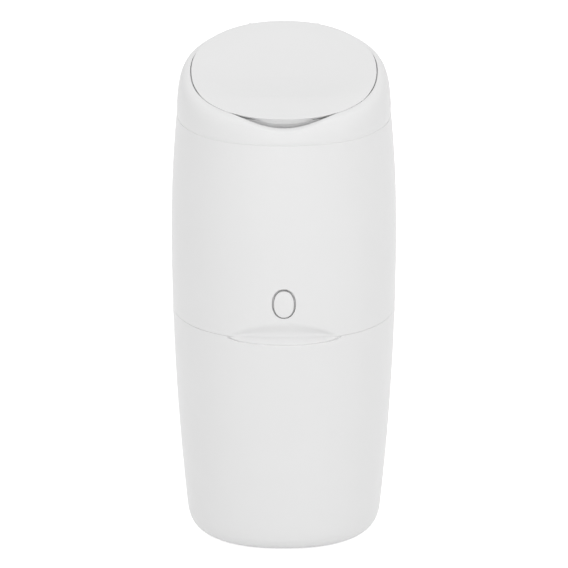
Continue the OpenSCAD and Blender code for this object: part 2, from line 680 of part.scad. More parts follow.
guide_in = block_w / 2 + slip;
guide_out = guide_in + cheek_t;
guide_lo = button_z - block_h / 2 + 4;
guide_hi = button_z + block_h / 2 + slip + wall;
module button_guide() color("gainsboro") difference() {
    union() {
        for (s = [0, 1]) mirror([s, 0, 0]) {
            translate([guide_in, guide_front, guide_lo])
                cube([cheek_t, guide_back + wall - guide_front, guide_hi - guide_lo]);
            translate([guide_out - eps, guide_face, button_z - guide_tab_h / 2])
                cube([guide_screw_x + 5 - guide_out, guide_tab_t, guide_tab_h]);
        }
        translate([-guide_out, guide_back, guide_lo]) cube([2 * guide_out, wall, guide_hi - guide_lo]);
        translate([-guide_out, guide_front, guide_hi - wall])
            cube([2 * guide_out, guide_back + wall - guide_front, wall]);
    }
    for (s = [-1, 1]) rod_y([s * guide_screw_x, guide_face - eps, button_z], short_screw_r + hole_slip,
        guide_tab_t + 1);
}

module guide_screws() color("silver") for (s = [-1, 1])
    translate([s * guide_screw_x, guide_face + guide_tab_t, button_z]) rotate([-90, 0, 0])
        screw(short_screw_r, 8);

spring_d = 0.9;
spring_r = 5;
spring_curls = 6;
spring_start = block_back + slip + spring_d / 2;
spring_pitch = (spring_len - 2 * slip - spring_d) / spring_curls;
spring_z = button_z + 1;
function spring_pt(i) = [spring_r * cos(360 * i / steps), spring_start + spring_pitch * i / steps,
    spring_z + spring_r * sin(360 * i / steps)];
spring_path = concat(
    [[spring_r, spring_start, spring_z - spring_d]],
    [for (i = [0:steps * spring_curls]) spring_pt(i)],
    [[spring_r, spring_start + spring_pitch * spring_curls, spring_z + spring_d]]
);
module button_spring() color("silver") wire(spring_path, [0, 1, 0], spring_d);

// Lid

lid_edge = lid_r - lid_gap;
brow_y = -0.55 * lid_r;
function brow_at(y) = y < brow_y
    ? brow * (1 - bow((brow_y - y) / (lid_r + brow_y)))
    : brow * bow(max(0, 1 - (y - brow_y) / (0.7 * lid_r)));
function lid_rise(p, f) = (1 - pow(f, 4)) * (brow_at(p.y) - dish * (1 - bow(f)));
function proud_z(y) = plane_z(y) + lid_proud * (1 + y / lid_edge) / 2;
function proud_ring(r, dz) = [for (p = ring(r, 0)) [p.x, p.y, proud_z(p.y) + dz]];
function lid_ring(f, drop) = [for (p = ring(f * lid_edge, 0))
    [p.x, p.y, proud_z(p.y) + lid_rise(p, f) - drop]];
lid_rim_t = 4;
lid_taper = 1.8;                // lets the rear edge swing out of the seat
lid_seal_w = 4.5;
lid_seal_r = lid_edge - lid_taper - 0.4;
function lid_rings() = concat(
    [for (f = [0.2, 0.5, 0.84]) lid_ring(f, lid_t)],
    [slant_ring(0.88 * lid_edge, -lid_rim_t), slant_ring(lid_edge - lid_taper, -lid_rim_t),
     proud_ring(lid_edge, -1.2), proud_ring(lid_edge - 0.35, -0.35), proud_ring(lid_edge - 1.2, 0)],
    [for (f = [0.9, 0.75, 0.55, 0.35, 0.15]) lid_ring(f, 0)]
);

module lid() color("white") difference() {
    union() {
        loft(lid_rings());
        // tongue over the rear rim, down to the knuckle
        along_x(-lid_knuckle_w / 2, lid_knuckle_w) {
            translate([lid_hinge_y, lid_hinge_z]) circle(r = lid_knuckle_r);
            polygon([[lid_r - 8, plane_z(lid_r - 8) - lid_rim_t + 0.5], [lid_r - 8, plane_z(lid_r - 8) - 1],
                [lid_edge, plane_z(lid_edge) - 0.8], [lid_hinge_y + 1, lid_hinge_z + lid_knuckle_r],
                [lid_hinge_y, lid_hinge_z], [lid_hinge_y - lid_knuckle_r, lid_hinge_z],
                [lid_edge, plane_z(lid_edge) - lid_rim_t + 0.3]]);
        }
    }
    rod_x([-cut, lid_hinge_y, lid_hinge_z], lid_pin_d / 2 + pin_slip, 2 * cut);
}

liner_r = seat_r - 4.5;
module lid_liner() color("whitesmoke") loft([
    slant_ring(0.3 * liner_r, -12), slant_ring(liner_r - 4, -12), slant_ring(liner_r, -9),
    slant_ring(liner_r, -lid_rim_t), slant_ring(liner_r - 1.2, -lid_rim_t),
    slant_ring(liner_r - 2, -9), slant_ring(liner_r - 6, -10), slant_ring(0.3 * liner_r, -10)
]);

module lid_seal() color("gray") loft([
    slant_ring(lid_seal_r - lid_seal_w, -seat_d + slip), slant_ring(lid_seal_r, -seat_d + slip),
    slant_ring(lid_seal_r, -lid_rim_t), slant_ring(lid_seal_r - lid_seal_w, -lid_rim_t)
], tube = true);

echo(flap_spring_gap = least_gap(coil_path, coil_d, steps - 2));
echo(button_spring_gap = least_gap(spring_path, spring_d, steps - 2));

lower_bucket();
foot_ring();
tilt_hinge_pin();
upper_housing();
top_collar();
chute();
jaw_frame();
frame_screws();
jaw_frame_screws();
cassette_body();
cassette_cap();
film_pack();
cutter_guard();
cutter_blade();
cutter_screws();
button_guide();
guide_screws();
left_jaw_pin();
right_jaw_pin();
lid_hinge_pin();
lid();
lid_liner();
lid_seal();
button_cap();
latch_slide();
button_spring();
left_jaw();
left_jaw_seal();
left_jaw_spring();
right_jaw();
right_jaw_seal();
right_jaw_spring();
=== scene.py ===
"""Looks of a tall white nappy bin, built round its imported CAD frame.

Lengths are millimetres, as in the part's source, until a piece is finished, which turns them into metres.
"""

import json
import math

import bmesh
import bpy
from mathutils import Matrix, Vector

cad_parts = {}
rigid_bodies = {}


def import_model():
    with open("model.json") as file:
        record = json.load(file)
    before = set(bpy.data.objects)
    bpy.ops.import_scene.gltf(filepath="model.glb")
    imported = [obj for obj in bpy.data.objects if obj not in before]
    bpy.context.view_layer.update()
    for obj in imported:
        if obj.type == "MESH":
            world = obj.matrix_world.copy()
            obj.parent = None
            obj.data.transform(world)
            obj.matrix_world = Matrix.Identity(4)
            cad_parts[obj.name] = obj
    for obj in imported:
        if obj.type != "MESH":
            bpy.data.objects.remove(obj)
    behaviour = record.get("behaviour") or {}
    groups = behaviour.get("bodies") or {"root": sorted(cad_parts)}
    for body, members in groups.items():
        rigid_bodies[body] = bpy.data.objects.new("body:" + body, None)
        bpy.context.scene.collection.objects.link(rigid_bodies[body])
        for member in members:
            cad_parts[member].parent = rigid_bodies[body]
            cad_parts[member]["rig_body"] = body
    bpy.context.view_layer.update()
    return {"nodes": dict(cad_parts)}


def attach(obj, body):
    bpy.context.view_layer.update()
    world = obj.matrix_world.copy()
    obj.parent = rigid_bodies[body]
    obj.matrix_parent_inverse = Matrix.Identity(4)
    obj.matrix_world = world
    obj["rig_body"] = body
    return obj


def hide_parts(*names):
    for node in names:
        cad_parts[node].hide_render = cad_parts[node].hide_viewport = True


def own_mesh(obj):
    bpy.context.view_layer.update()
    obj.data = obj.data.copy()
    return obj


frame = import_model()
MM = 0.001

# Outline
PLAN_POWER = 2.3
REAR_POWER = 2.1
BELLY_R = 117.995
BASE_R = 99.5
SHOULDER_R = 112.0
LID_R = 97.5
PARTING_Z = 249.0
BELLY_Z = 330.0
SHOULDER_Z = 460.0
LID_Z = 505.6
LID_SLOPE = math.tan(math.radians(12.2))
WALL = 2.5
PART_GAP = 0.16
EDGE_R = 0.4  # rounding of the two edges at the parting
SLIP = 0.3
ROW_H = 6.0  # height of the housing's plain rows

# Bucket
FOOT_H = 2.5
FOOT_R = 72.0
FOOT_W = 8.0
BASE_ROUND = 25.5
BASE_POWER = 3.0
WALL_ROWS = 24
RIM_ROWS = 27
RIM_ROW_H = 0.25
RIM_ROWS_H = 7.5
RIM_W = 13.0
RIM_T = 3.0
BACKING_H = 5.0
BACKING_D = 2.5

# Finger scoop, in the upper half and as a slope in the bucket's wall
SCOOP_W = 116.0
SCOOP_H = 19.0
SCOOP_D = 7.0
SCOOP_POWER = 2.2
SCOOP_END = 20.0
SCOOP_SHUT = 8.0
SCOOP_FADE = 0.8
SLOPE_DROP = 6.5
SLOPE_POWER = 0.4
SLOPE_H = 9.0
GROOVE_D = 1.9
GROOVE_EASE = 0.3
GROOVE_W = 0.5

# Upper half
LIP_W = 3.5
LEDGE_W = 5.0
LEDGE_T = 3.0
LEDGE_FOOT_Z = 400.0
DECK_Z = 420.0
BOSS_R = 5.0
BOSS_H = 14.0
BOSS_CLEAR = 1.2
BOSS_SLIP = 0.2
BOSS_TURNS = (45, 135, 225, 315)

# Collar
COLLAR_H = 45.6
COLLAR_TURN = 78.0
CREASE_D = 0.5
CREASE_H = 9.0
REAR_DIP = 1.6
SEAT_D = 5.0
SEAT_W = 7.0
SEAT_H = 19.2
POST_H = 37.0

# Finger pocket
POCKET_W = 107.0
POCKET_END = 3.0
POCKET_COLUMNS = 140
POCKET_BACK = 3.0
POCKET_UNDER = 3.0
POCKET_TRENCH = 10.0
POCKET_DEPTH = 8.5
POCKET_POWER = 1.8
CREST_OUT = 4.1
ROLL_FALL = 3.4
CUT = 40.0  # how far a cut runs out of the part

# Button
BUTTON_Z = 288.0
BUTTON_W = 24.0
BUTTON_H = 31.6
BUTTON_GAP = 1.6
OVAL_POWER = 2.2
OPENING_W = 25.0
OPENING_H = 32.9
OPENING_RISE = 0.75
CAP_TALLER = 0.8
CAP_ROUND = 0.7
FLANGE_OUT = 1.9
FLANGE_FRONT = 2.7
FLANGE_BACK = 3.2

# Lid
LID_GAP = 1.0
LID_T = 3.0
LID_RIM_T = 4.0
LID_TAPER = 3.2
LIP_DEPTH = 7.3
LIP_REACH = 1.4
LIP_HALF = 46.0
LID_SEAL_W = 4.5
DISH = 6.5
BROW = 4.0
LID_PROUD = 1.0
LID_TOP = 527.2
FRONT_GROW = 0.65
REAR_GROW = 0.9
LINER_LOW = 12.0
LINER_T = 2.0

# Hinges
TILT_Y = 123.885
TILT_R = 5.5
TILT_W = 43.0
TILT_LEG = 24.0
LUG_W = 8.0
HINGE_GAP = 0.6
LID_HINGE_Y = 105.0
LID_HINGE_Z = 516.702
LID_KNUCKLE_R = 4.5
LID_KNUCKLE_W = 58.0
LID_EAR_W = 8.0
LID_EAR_X = 29.6

# Flaps and their springs
PIVOT_X = 66.0
PIVOT_Z = 362.0
FLAP_Z = 361.0
PLATE_Z = 369.0
FLAP_R = 61.0
COIL_D = 1.2
COIL_R = 2.5
COIL_PITCH = 1.7
COIL_CURLS = 3.25
COIL_Y = 36.6
COIL_STEPS = 32

# Button's spring
PRESS_COIL_D = 0.9
PRESS_COIL_R = 5.0
PRESS_CURLS = 6
PRESS_LEN = 14.0
ARM_GAP = 2.7
ARM_T = 3.0

# Cassette
CASSETTE_IN = 62.0
CASSETTE_R = 86.0
CASSETTE_Z = 423.0
CASSETTE_H = 37.0
CHANNEL_WALL = 2.0
FOLDS = 26
FOLD_D = 1.2

# Camera, in metres and in pixels of the square picture
PICTURE_PX = 568
FOCAL_PX = 8239.862
SHIFT_PX = (-0.3, 0.25)
CAMERA_PLACE = (0.0004, -8.13526, 3.24635)
CAMERA_PITCH = 20.11
LAMP_AIM = (0, 0, 0.27)


def plan_point(r, a):
    """Point of the rounded square of half width r at turn a, counted from the front."""
    power = PLAN_POWER if math.cos(a) > 0 else REAR_POWER
    x, y = (math.copysign(abs(c) ** (2 / power), c) for c in (math.sin(a), -math.cos(a)))
    return r * x, r * y


def plan_y(r, x, power=PLAN_POWER):
    return r * (1 - min(1.0, abs(x) / r) ** power) ** (1 / power)


def body_r(z):
    if z < BELLY_Z:
        return BELLY_R - (BELLY_R - BASE_R) * ((BELLY_Z - z) / BELLY_Z) ** 2
    return BELLY_R - (BELLY_R - SHOULDER_R) * ((z - BELLY_Z) / (SHOULDER_Z - BELLY_Z)) ** 2


def lid_plane(y):
    return LID_Z + LID_SLOPE * y


def ramp(t):
    t = min(max(t, 0.0), 1.0)
    return t * t * (3 - 2 * t)


def scoop_lens(x):
    """The finger scoop's outline: one in the middle, falling to nothing at its corners."""
    return max(0.0, 1 - (2 * abs(x) / SCOOP_W) ** SCOOP_POWER)


def scoop_side(x, width=SCOOP_END):
    """One inside the scoop, easing to nothing over a width at its corners."""
    return ramp((SCOOP_W / 2 - abs(x)) / width)


def scoop_depth(x, z):
    """Push of the finger scoop into the front wall, with a groove where its slope ends below the parting."""
    lens = scoop_lens(x)
    if not lens:
        return 0.0
    side = scoop_side(x)
    high = ramp((PARTING_Z + SCOOP_H * lens - z) / (SCOOP_FADE * SCOOP_H * max(lens, 0.25)))
    low = z - PARTING_Z + SLOPE_DROP * lens ** SLOPE_POWER
    slope = math.sin(math.pi / 2 * min(max(low / SLOPE_H, 0.0), 1.0))
    groove = (GROOVE_D - GROOVE_EASE * side) * math.exp(-(low / GROOVE_W) ** 2)
    return SCOOP_D * side * high * slope + groove


def softened(corners, ring=False):
    """A path of (r, z, lean) whose corners (r, z, round, lean) are rounded off."""
    path = []
    count, steps = len(corners), 4
    for i, corner in enumerate(corners):
        r, z, fillet, lean = (*corner, 0.0)[:4]
        at_end = not ring and i in (0, count - 1)
        if at_end or not fillet:
            path.append((r, z, lean))
            continue
        here = Vector((r, z))
        back = Vector(corners[i - 1][:2]) - here
        ahead = Vector(corners[(i + 1) % count][:2]) - here
        start = here + back.normalized() * min(fillet, 0.48 * back.length)
        end = here + ahead.normalized() * min(fillet, 0.48 * ahead.length)
        for k in range(steps + 1):
            t = k / steps
            p = (1 - t) ** 2 * start + 2 * t * (1 - t) * here + t * t * end
            path.append((p.x, p.y, lean))
    return path


def spun(path, ring=False, around=288, squared=True, settle=None):
    """A mesh turned from a path of (r, z, lean), then squared off to the plan and leant with the lid's plane."""
    bm = bmesh.new()
    lean_of = bm.verts.layers.float.new("lean")
    spine = []
    for r, z, lean in path:
        v = bm.verts.new((0, -r, z))
        v[lean_of] = lean
        spine.append(v)
    for a, b in zip(spine, spine[1:] + (spine[:1] if ring else [])):
        bm.edges.new((a, b))
    bmesh.ops.spin(
        bm, geom=bm.verts[:] + bm.edges[:], cent=(0, 0, 0), axis=(0, 0, 1), dvec=(0, 0, 0),
        angle=2 * math.pi, steps=around, use_merge=True, use_duplicate=False, use_normal_flip=False,
    )
    bmesh.ops.remove_doubles(bm, verts=bm.verts[:], dist=1e-4)
    for v in bm.verts:
        r = math.hypot(v.co.x, v.co.y)
        if squared and r > 1e-3:
            v.co.x, v.co.y = plan_point(r, math.atan2(v.co.x, -v.co.y))
        z = v.co.z
        v.co.z = z + v[lean_of] * LID_SLOPE * v.co.y
        if settle:
            settle(v, r, z)
    bmesh.ops.recalc_face_normals(bm, faces=bm.faces[:])
    return bm


def outline_prism(points, x, length, soft):
    """A plate of the outline (y, z), drawn along X and with softened edges."""
    bm = bmesh.new()
    face = bm.faces.new([bm.verts.new((x, y, z)) for y, z in points])
    grown = bmesh.ops.extrude_face_region(bm, geom=[face])
    moved = [g for g in grown["geom"] if isinstance(g, bmesh.types.BMVert)]
    bmesh.ops.translate(bm, vec=(length, 0, 0), verts=moved)
    bmesh.ops.recalc_face_normals(bm, faces=bm.faces[:])
    soften_edges(bm, soft)
    return bm


def soften_edges(bm, width, angle=25):
    edges = [e for e in bm.edges if len(e.link_faces) == 2 and e.calc_face_angle(0) > math.radians(angle)]
    if edges and width:
        bmesh.ops.bevel(
            bm, geom=edges, offset=width, offset_type="OFFSET", segments=2, profile=0.5,
            affect="EDGES", clamp_overlap=True, material=-1,
        )


def round_bar(start, axis, r, length, soft=0.4):
    """A bar along one axis, from a point, with softened rims."""
    bm = bmesh.new()
    bmesh.ops.create_cone(bm, cap_ends=True, segments=48, radius1=r, radius2=r, depth=length)
    bmesh.ops.translate(bm, vec=(0, 0, length / 2), verts=bm.verts[:])
    turn = Vector((0, 0, 1)).rotation_difference(Vector(axis)).to_matrix()
    bmesh.ops.rotate(bm, cent=(0, 0, 0), matrix=turn, verts=bm.verts[:])
    bmesh.ops.translate(bm, vec=start, verts=bm.verts[:])
    soften_edges(bm, soft, angle=50)
    return bm


def oval_prism(w, h, y0, y1, rise=0.0):
    """The button's upright oval, from y0 at the front back to y1."""
    bm = bmesh.new()
    bmesh.ops.create_circle(bm, cap_ends=True, segments=96, radius=w / 2)
    bmesh.ops.rotate(bm, cent=(0, 0, 0), matrix=Matrix.Rotation(math.radians(90), 3, "X"), verts=bm.verts[:])
    for v in bm.verts:
        a = math.atan2(v.co.x, v.co.z)
        x, z = (math.copysign(abs(c) ** (2 / OVAL_POWER), c) for c in (math.sin(a), math.cos(a)))
        v.co = (w / 2 * x, y0, h / 2 * z + BUTTON_Z + rise)
    grown = bmesh.ops.extrude_face_region(bm, geom=bm.faces[:])
    moved = [g for g in grown["geom"] if isinstance(g, bmesh.types.BMVert)]
    bmesh.ops.translate(bm, vec=(0, y1 - y0, 0), verts=moved)
    bmesh.ops.recalc_face_normals(bm, faces=bm.faces[:])
    return bm


def joined(*meshes):
    """Several closed shells in one mesh."""
    whole = bmesh.new()
    for bm in meshes:
        part = bpy.data.meshes.new("part")
        bm.to_mesh(part)
        bm.free()
        whole.from_mesh(part)
        bpy.data.meshes.remove(part)
    return whole


def carved(bm, cutter):
    """bm with the cutter taken out of it."""
    made = []
    for part in (bm, cutter):
        mesh = bpy.data.meshes.new("carve")
        part.to_mesh(mesh)
        part.free()
        made.append(bpy.data.objects.new("carve", mesh))
        bpy.context.scene.collection.objects.link(made[-1])
    carve = made[0].modifiers.new("carve", "BOOLEAN")
    carve.operation = "DIFFERENCE"
    carve.solver = "EXACT"
    carve.object = made[1]
    bpy.context.view_layer.update()
    result = bpy.data.meshes.new_from_object(made[0].evaluated_get(bpy.context.evaluated_depsgraph_get()))
    out = bmesh.new()
    out.from_mesh(result)
    for o in made:
        old = o.data
        bpy.data.objects.remove(o)
        bpy.data.meshes.remove(old)
    bpy.data.meshes.remove(result)
    return out


def finish_piece(bm, name, body, nodes, material, sharp=32):
    """Turns a mesh into a piece in metres that rides on its body and stands for its CAD nodes."""
    bmesh.ops.scale(bm, vec=(MM, MM, MM), verts=bm.verts[:])
    mesh = bpy.data.meshes.new(name)
    bm.to_mesh(mesh)
    bm.free()
    mesh.shade_smooth()
    mesh.set_sharp_from_angle(angle=math.radians(sharp))
    mesh.materials.append(material)
    piece = bpy.data.objects.new(name, mesh)
    bpy.context.scene.collection.objects.link(piece)
    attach(piece, body)
    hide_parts(*nodes)
    return piece


def refined(node, body, material, soft):
    """A copy of a CAD node with its facets merged and its edges softened."""
    bm = bmesh.new()
    bm.from_mesh(frame["nodes"][node].data)
    bmesh.ops.scale(bm, vec=(1 / MM, 1 / MM, 1 / MM), verts=bm.verts[:])
    bmesh.ops.remove_doubles(bm, verts=bm.verts[:], dist=1e-3)
    bmesh.ops.dissolve_limit(bm, angle_limit=math.radians(1), verts=bm.verts[:], edges=bm.edges[:])
    soften_edges(bm, soft)
    bmesh.ops.triangulate(bm, faces=[f for f in bm.faces if len(f.verts) > 4])
    return finish_piece(bm, node + "_fine", body, [node], material)


# Finishes

def new_group(name, inputs, outputs):
    group = bpy.data.node_groups.new(name, "ShaderNodeTree")
    for label, value in inputs:
        socket = group.interface.new_socket(label, in_out="INPUT", socket_type="NodeSocketFloat")
        socket.default_value = value
    for label in outputs:
        group.interface.new_socket(label, in_out="OUTPUT", socket_type="NodeSocketFloat")
    return group, group.nodes.new("NodeGroupInput"), group.nodes.new("NodeGroupOutput")


def moulded_skin():
    """Moulded plastic: a fine even grain, the slow flow of the melt, and a few rubbed specks."""
    group, given, result = new_group(
        "moulded_skin",
        [("Grain Scale", 1800), ("Flow Scale", 14), ("Rub Scale", 60)],
        ["Grain", "Flow", "Rub"],
    )
    nodes, links = group.nodes, group.links
    place = nodes.new("ShaderNodeTexCoord")
    grain = nodes.new("ShaderNodeTexNoise")
    grain.inputs["Detail"].default_value = 3
    flow = nodes.new("ShaderNodeTexNoise")
    flow.inputs["Detail"].default_value = 2
    flow.inputs["Distortion"].default_value = 0.6
    rub = nodes.new("ShaderNodeTexNoise")
    rub.inputs["Detail"].default_value = 6
    rub.inputs["Roughness"].default_value = 0.7
    for noise, label in ((grain, "Grain Scale"), (flow, "Flow Scale"), (rub, "Rub Scale")):
        links.new(place.outputs["Object"], noise.inputs["Vector"])
        links.new(given.outputs[label], noise.inputs["Scale"])
    specks = nodes.new("ShaderNodeMapRange")
    specks.inputs["From Min"].default_value = 0.58
    specks.inputs["From Max"].default_value = 0.72
    links.new(rub.outputs["Fac"], specks.inputs["Value"])
    links.new(grain.outputs["Fac"], result.inputs["Grain"])
    links.new(flow.outputs["Fac"], result.inputs["Flow"])
    links.new(specks.outputs["Result"], result.inputs["Rub"])
    return group


skin_group = moulded_skin()


def plastic(name, colour, tint, roughness, grain_scale, grain_depth, rub=0.06):
    """A moulded plastic whose colour wanders between two near tones."""
    material = bpy.data.materials.new(name)
    material.use_nodes = True
    nodes, links = material.node_tree.nodes, material.node_tree.links
    shader = nodes["Principled BSDF"]
    skin = nodes.new("ShaderNodeGroup")
    skin.node_tree = skin_group
    skin.inputs["Grain Scale"].default_value = grain_scale
    tone = nodes.new("ShaderNodeMix")
    tone.data_type = "RGBA"
    tone.inputs["A"].default_value = (*colour, 1)
    tone.inputs["B"].default_value = (*tint, 1)
    links.new(skin.outputs["Flow"], tone.inputs["Factor"])
    links.new(tone.outputs["Result"], shader.inputs["Base Color"])
    matt = nodes.new("ShaderNodeMath")
    matt.operation = "MULTIPLY_ADD"
    matt.inputs[1].default_value = rub
    matt.inputs[2].default_value = roughness
    links.new(skin.outputs["Rub"], matt.inputs[0])
    links.new(matt.outputs["Value"], shader.inputs["Roughness"])
    relief = nodes.new("ShaderNodeBump")
    relief.inputs["Strength"].default_value = 0.5
    relief.inputs["Distance"].default_value = grain_depth * MM
    links.new(skin.outputs["Grain"], relief.inputs["Height"])
    links.new(relief.outputs["Normal"], shader.inputs["Normal"])
    shader.inputs["IOR"].default_value = 1.5
    return material


def rubber(name, colour):
    """Soft matt rubber with a dusty bloom."""
    material = plastic(name, colour, tuple(c * 1.25 for c in colour), 0.62, 2600, 0.05, rub=0.25)
    material.node_tree.nodes["Principled BSDF"].inputs["Sheen Weight"].default_value = 0.2
    return material


def steel(name):
    """Bright drawn steel with fine lines along its length."""
    material = bpy.data.materials.new(name)
    material.use_nodes = True
    nodes, links = material.node_tree.nodes, material.node_tree.links
    shader = nodes["Principled BSDF"]
    place = nodes.new("ShaderNodeTexCoord")
    stretch = nodes.new("ShaderNodeMapping")
    stretch.inputs["Scale"].default_value = (90, 4200, 4200)
    lines = nodes.new("ShaderNodeTexNoise")
    lines.inputs["Scale"].default_value = 1
    lines.inputs["Detail"].default_value = 4
    links.new(place.outputs["Object"], stretch.inputs["Vector"])
    links.new(stretch.outputs["Vector"], lines.inputs["Vector"])
    tone = nodes.new("ShaderNodeMix")
    tone.data_type = "RGBA"
    tone.inputs["A"].default_value = (0.50, 0.50, 0.51, 1)
    tone.inputs["B"].default_value = (0.66, 0.66, 0.67, 1)
    links.new(lines.outputs["Fac"], tone.inputs["Factor"])
    links.new(tone.outputs["Result"], shader.inputs["Base Color"])
    matt = nodes.new("ShaderNodeMapRange")
    matt.inputs["To Min"].default_value = 0.22
    matt.inputs["To Max"].default_value = 0.38
    links.new(lines.outputs["Fac"], matt.inputs["Value"])
    links.new(matt.outputs["Result"], shader.inputs["Roughness"])
    relief = nodes.new("ShaderNodeBump")
    relief.inputs["Strength"].default_value = 0.2
    relief.inputs["Distance"].default_value = 0.01 * MM
    links.new(lines.outputs["Fac"], relief.inputs["Height"])
    links.new(relief.outputs["Normal"], shader.inputs["Normal"])
    shader.inputs["Metallic"].default_value = 1
    return material


def folded_film():
    """Thin cloudy film, packed in folds."""
    material = plastic("folded_film", (0.62, 0.70, 0.78), (0.80, 0.85, 0.90), 0.3, 700, 0.25)
    shader = material.node_tree.nodes["Principled BSDF"]
    shader.inputs["Transmission Weight"].default_value = 0.25
    shader.inputs["Sheen Weight"].default_value = 0.1
    return material


SHELL_WHITE = plastic("shell_white", (0.82, 0.82, 0.82), (0.84, 0.84, 0.84), 0.45, 2200, 0.02)
INNER_WHITE = plastic("inner_white", (0.72, 0.72, 0.71), (0.77, 0.77, 0.76), 0.42, 1500, 0.05)
CASSETTE_WHITE = plastic("cassette_white", (0.70, 0.75, 0.80), (0.76, 0.80, 0.84), 0.38, 1500, 0.04)
CASSETTE_BLUE = plastic("cassette_blue", (0.30, 0.46, 0.66), (0.36, 0.52, 0.71), 0.34, 1500, 0.04)
GREY_RUBBER = rubber("grey_rubber", (0.12, 0.12, 0.125))
STEEL = steel("drawn_steel")
FILM = folded_film()


# Bucket

def round_turns():
    """Steps round the base edge, a little squarer than a circle."""
    turns = (math.radians(q) for q in (0, 1, 3, 6, 10, 16, 23, 31, 40, 50, 59, 67, 74, 80, 84, 87, 89, 90))
    return [(abs(math.sin(q)) ** (2 / BASE_POWER), abs(math.cos(q)) ** (2 / BASE_POWER)) for q in turns]


def bucket_path():
    path = [(0.0, FOOT_H, 0.0)]
    for s, c in round_turns():
        z = FOOT_H + BASE_ROUND * (1 - c)
        path.append((body_r(z) - BASE_ROUND * (1 - s), z, 0.0))
    top = PARTING_Z - PART_GAP / 2
    rise = FOOT_H + BASE_ROUND
    for i in range(1, WALL_ROWS):
        z = rise + (top - RIM_T - rise) * i / WALL_ROWS
        path.append((body_r(z), z, 0.0))
    mouth = body_r(PARTING_Z)
    for k in range(RIM_ROWS):
        path.append((mouth, top - RIM_ROWS_H + RIM_ROW_H * k, 0.0))
    path += softened([
        (mouth, top - 0.5, 0), (mouth, top, EDGE_R), (mouth - 1, top, 0), (mouth - RIM_T - 6, top, 0),
        (mouth - RIM_W, top, 1), (mouth - RIM_W, top - RIM_T, 0.8),
        (mouth - WALL, top - RIM_T, 0.8), (mouth - WALL, top - RIM_T - BACKING_H, 0),
    ])
    for i in range(WALL_ROWS - 2, 0, -1):
        z = rise + (top - RIM_T - rise) * i / WALL_ROWS
        path.append((body_r(z) - WALL, z, 0.0))
    inner = BASE_ROUND - WALL
    for s, c in reversed(round_turns()):
        z = FOOT_H + WALL + inner * (1 - c)
        path.append((body_r(z) - WALL - inner * (1 - s), z, 0.0))
    path.append((0.0, FOOT_H + WALL, 0.0))
    return path


def settle_slope(v, r, z):
    """Slopes the bucket's top in under the finger scoop, and backs the slope with wall."""
    top = PARTING_Z - PART_GAP / 2
    if v.co.y > 0 or z < top - RIM_T - BACKING_H - 0.1:
        return
    mouth = body_r(PARTING_Z)
    if r > mouth - EDGE_R - 0.05:
        side = scoop_side(v.co.x, SCOOP_SHUT)
        v.co.y += scoop_depth(v.co.x, z) - (mouth - r) * side
        if z > top - EDGE_R:
            v.co.z = z + (PARTING_Z - z) * side
    elif r > mouth - WALL + 0.1:
        v.co.y += max(0.0, scoop_depth(v.co.x, z) - (mouth - r))
    elif z < top - RIM_T + 0.1:
        backing = min(BACKING_D, max(0.0, z - top + RIM_T + BACKING_H) * 0.5)
        v.co.y += backing * scoop_side(v.co.x) * min(1.0, (r - mouth + RIM_W) / 6)


def tilt_knuckle(x, length, side):
    """A knuckle of the tilt hinge with its leg, which runs to the wall below or above."""
    reach = length / 2 if side < 0 else 0
    root = plan_y(body_r(PARTING_Z), abs(x) + reach, REAR_POWER) - (0.4 if side > 0 else 0.5) * WALL
    points = []
    for k in range(25):
        a = math.pi * k / 24
        points.append((TILT_Y + TILT_R * math.cos(a), PARTING_Z - side * TILT_R * math.sin(a)))
    points += [(root, PARTING_Z + side), (root, PARTING_Z + side * TILT_LEG)]
    return outline_prism(points, x, length, 0.8)


LUG_X = TILT_W / 2 + HINGE_GAP
bucket_lugs = (tilt_knuckle(x, LUG_W, -1) for x in (LUG_X, -LUG_X - LUG_W))
finish_piece(
    joined(spun(bucket_path(), settle=settle_slope), *bucket_lugs),
    "bucket_shell", "bucket", ["lower_bucket"], SHELL_WHITE,
)

foot_path = softened([
    (FOOT_R - FOOT_W, 0, 0.8), (FOOT_R, 0, 0.8), (FOOT_R, FOOT_H + 1, 0.3), (FOOT_R - FOOT_W, FOOT_H + 1, 0.3),
], ring=True)
finish_piece(
    spun(foot_path, ring=True, around=192, squared=False),
    "foot_ring_fine", "bucket", ["foot_ring"], GREY_RUBBER,
)


# Upper housing

def housing_path():
    low = PARTING_Z + PART_GAP / 2
    foot = body_r(PARTING_Z)
    path = softened([
        (foot - WALL - LIP_W, low, 0.4), (foot, low, EDGE_R), (body_r(low + 2), low + 2, 0),
    ])[1:]
    z = low + 3
    while z < PARTING_Z + SCOOP_H + 4:
        path.append((body_r(z), z, 0.0))
        z += 1
    while z < SHOULDER_Z - 2:
        path.append((body_r(z), z, 0.0))
        z += ROW_H
    ledge = body_r(DECK_Z) - WALL
    path += softened([
        (SHOULDER_R, SHOULDER_Z - 1.5, 0), (SHOULDER_R - 0.1, SHOULDER_Z, 0.15),
        (SHOULDER_R - WALL, SHOULDER_Z, 0.3), (ledge, DECK_Z, 0.3), (ledge - LEDGE_W, DECK_Z, 0.5),
        (ledge - LEDGE_W, DECK_Z - LEDGE_T, 0.5), (ledge, DECK_Z - LEDGE_T - LEDGE_W, 1),
        (body_r(LEDGE_FOOT_Z) - WALL, LEDGE_FOOT_Z, 0),
    ])
    z = LEDGE_FOOT_Z - ROW_H
    while z > PARTING_Z + SCOOP_H:
        path.append((body_r(z) - WALL, z, 0.0))
        z -= ROW_H
    while z > low + WALL + 1:
        path.append((body_r(z) - WALL, z, 0.0))
        z -= 1.5
    path += softened([
        (foot - WALL, low + WALL + 1, 0), (foot - WALL, low + WALL, 0.4),
        (foot - WALL - LIP_W, low + WALL, 0.4), (foot - WALL - LIP_W, low, 0),
    ])
    return path


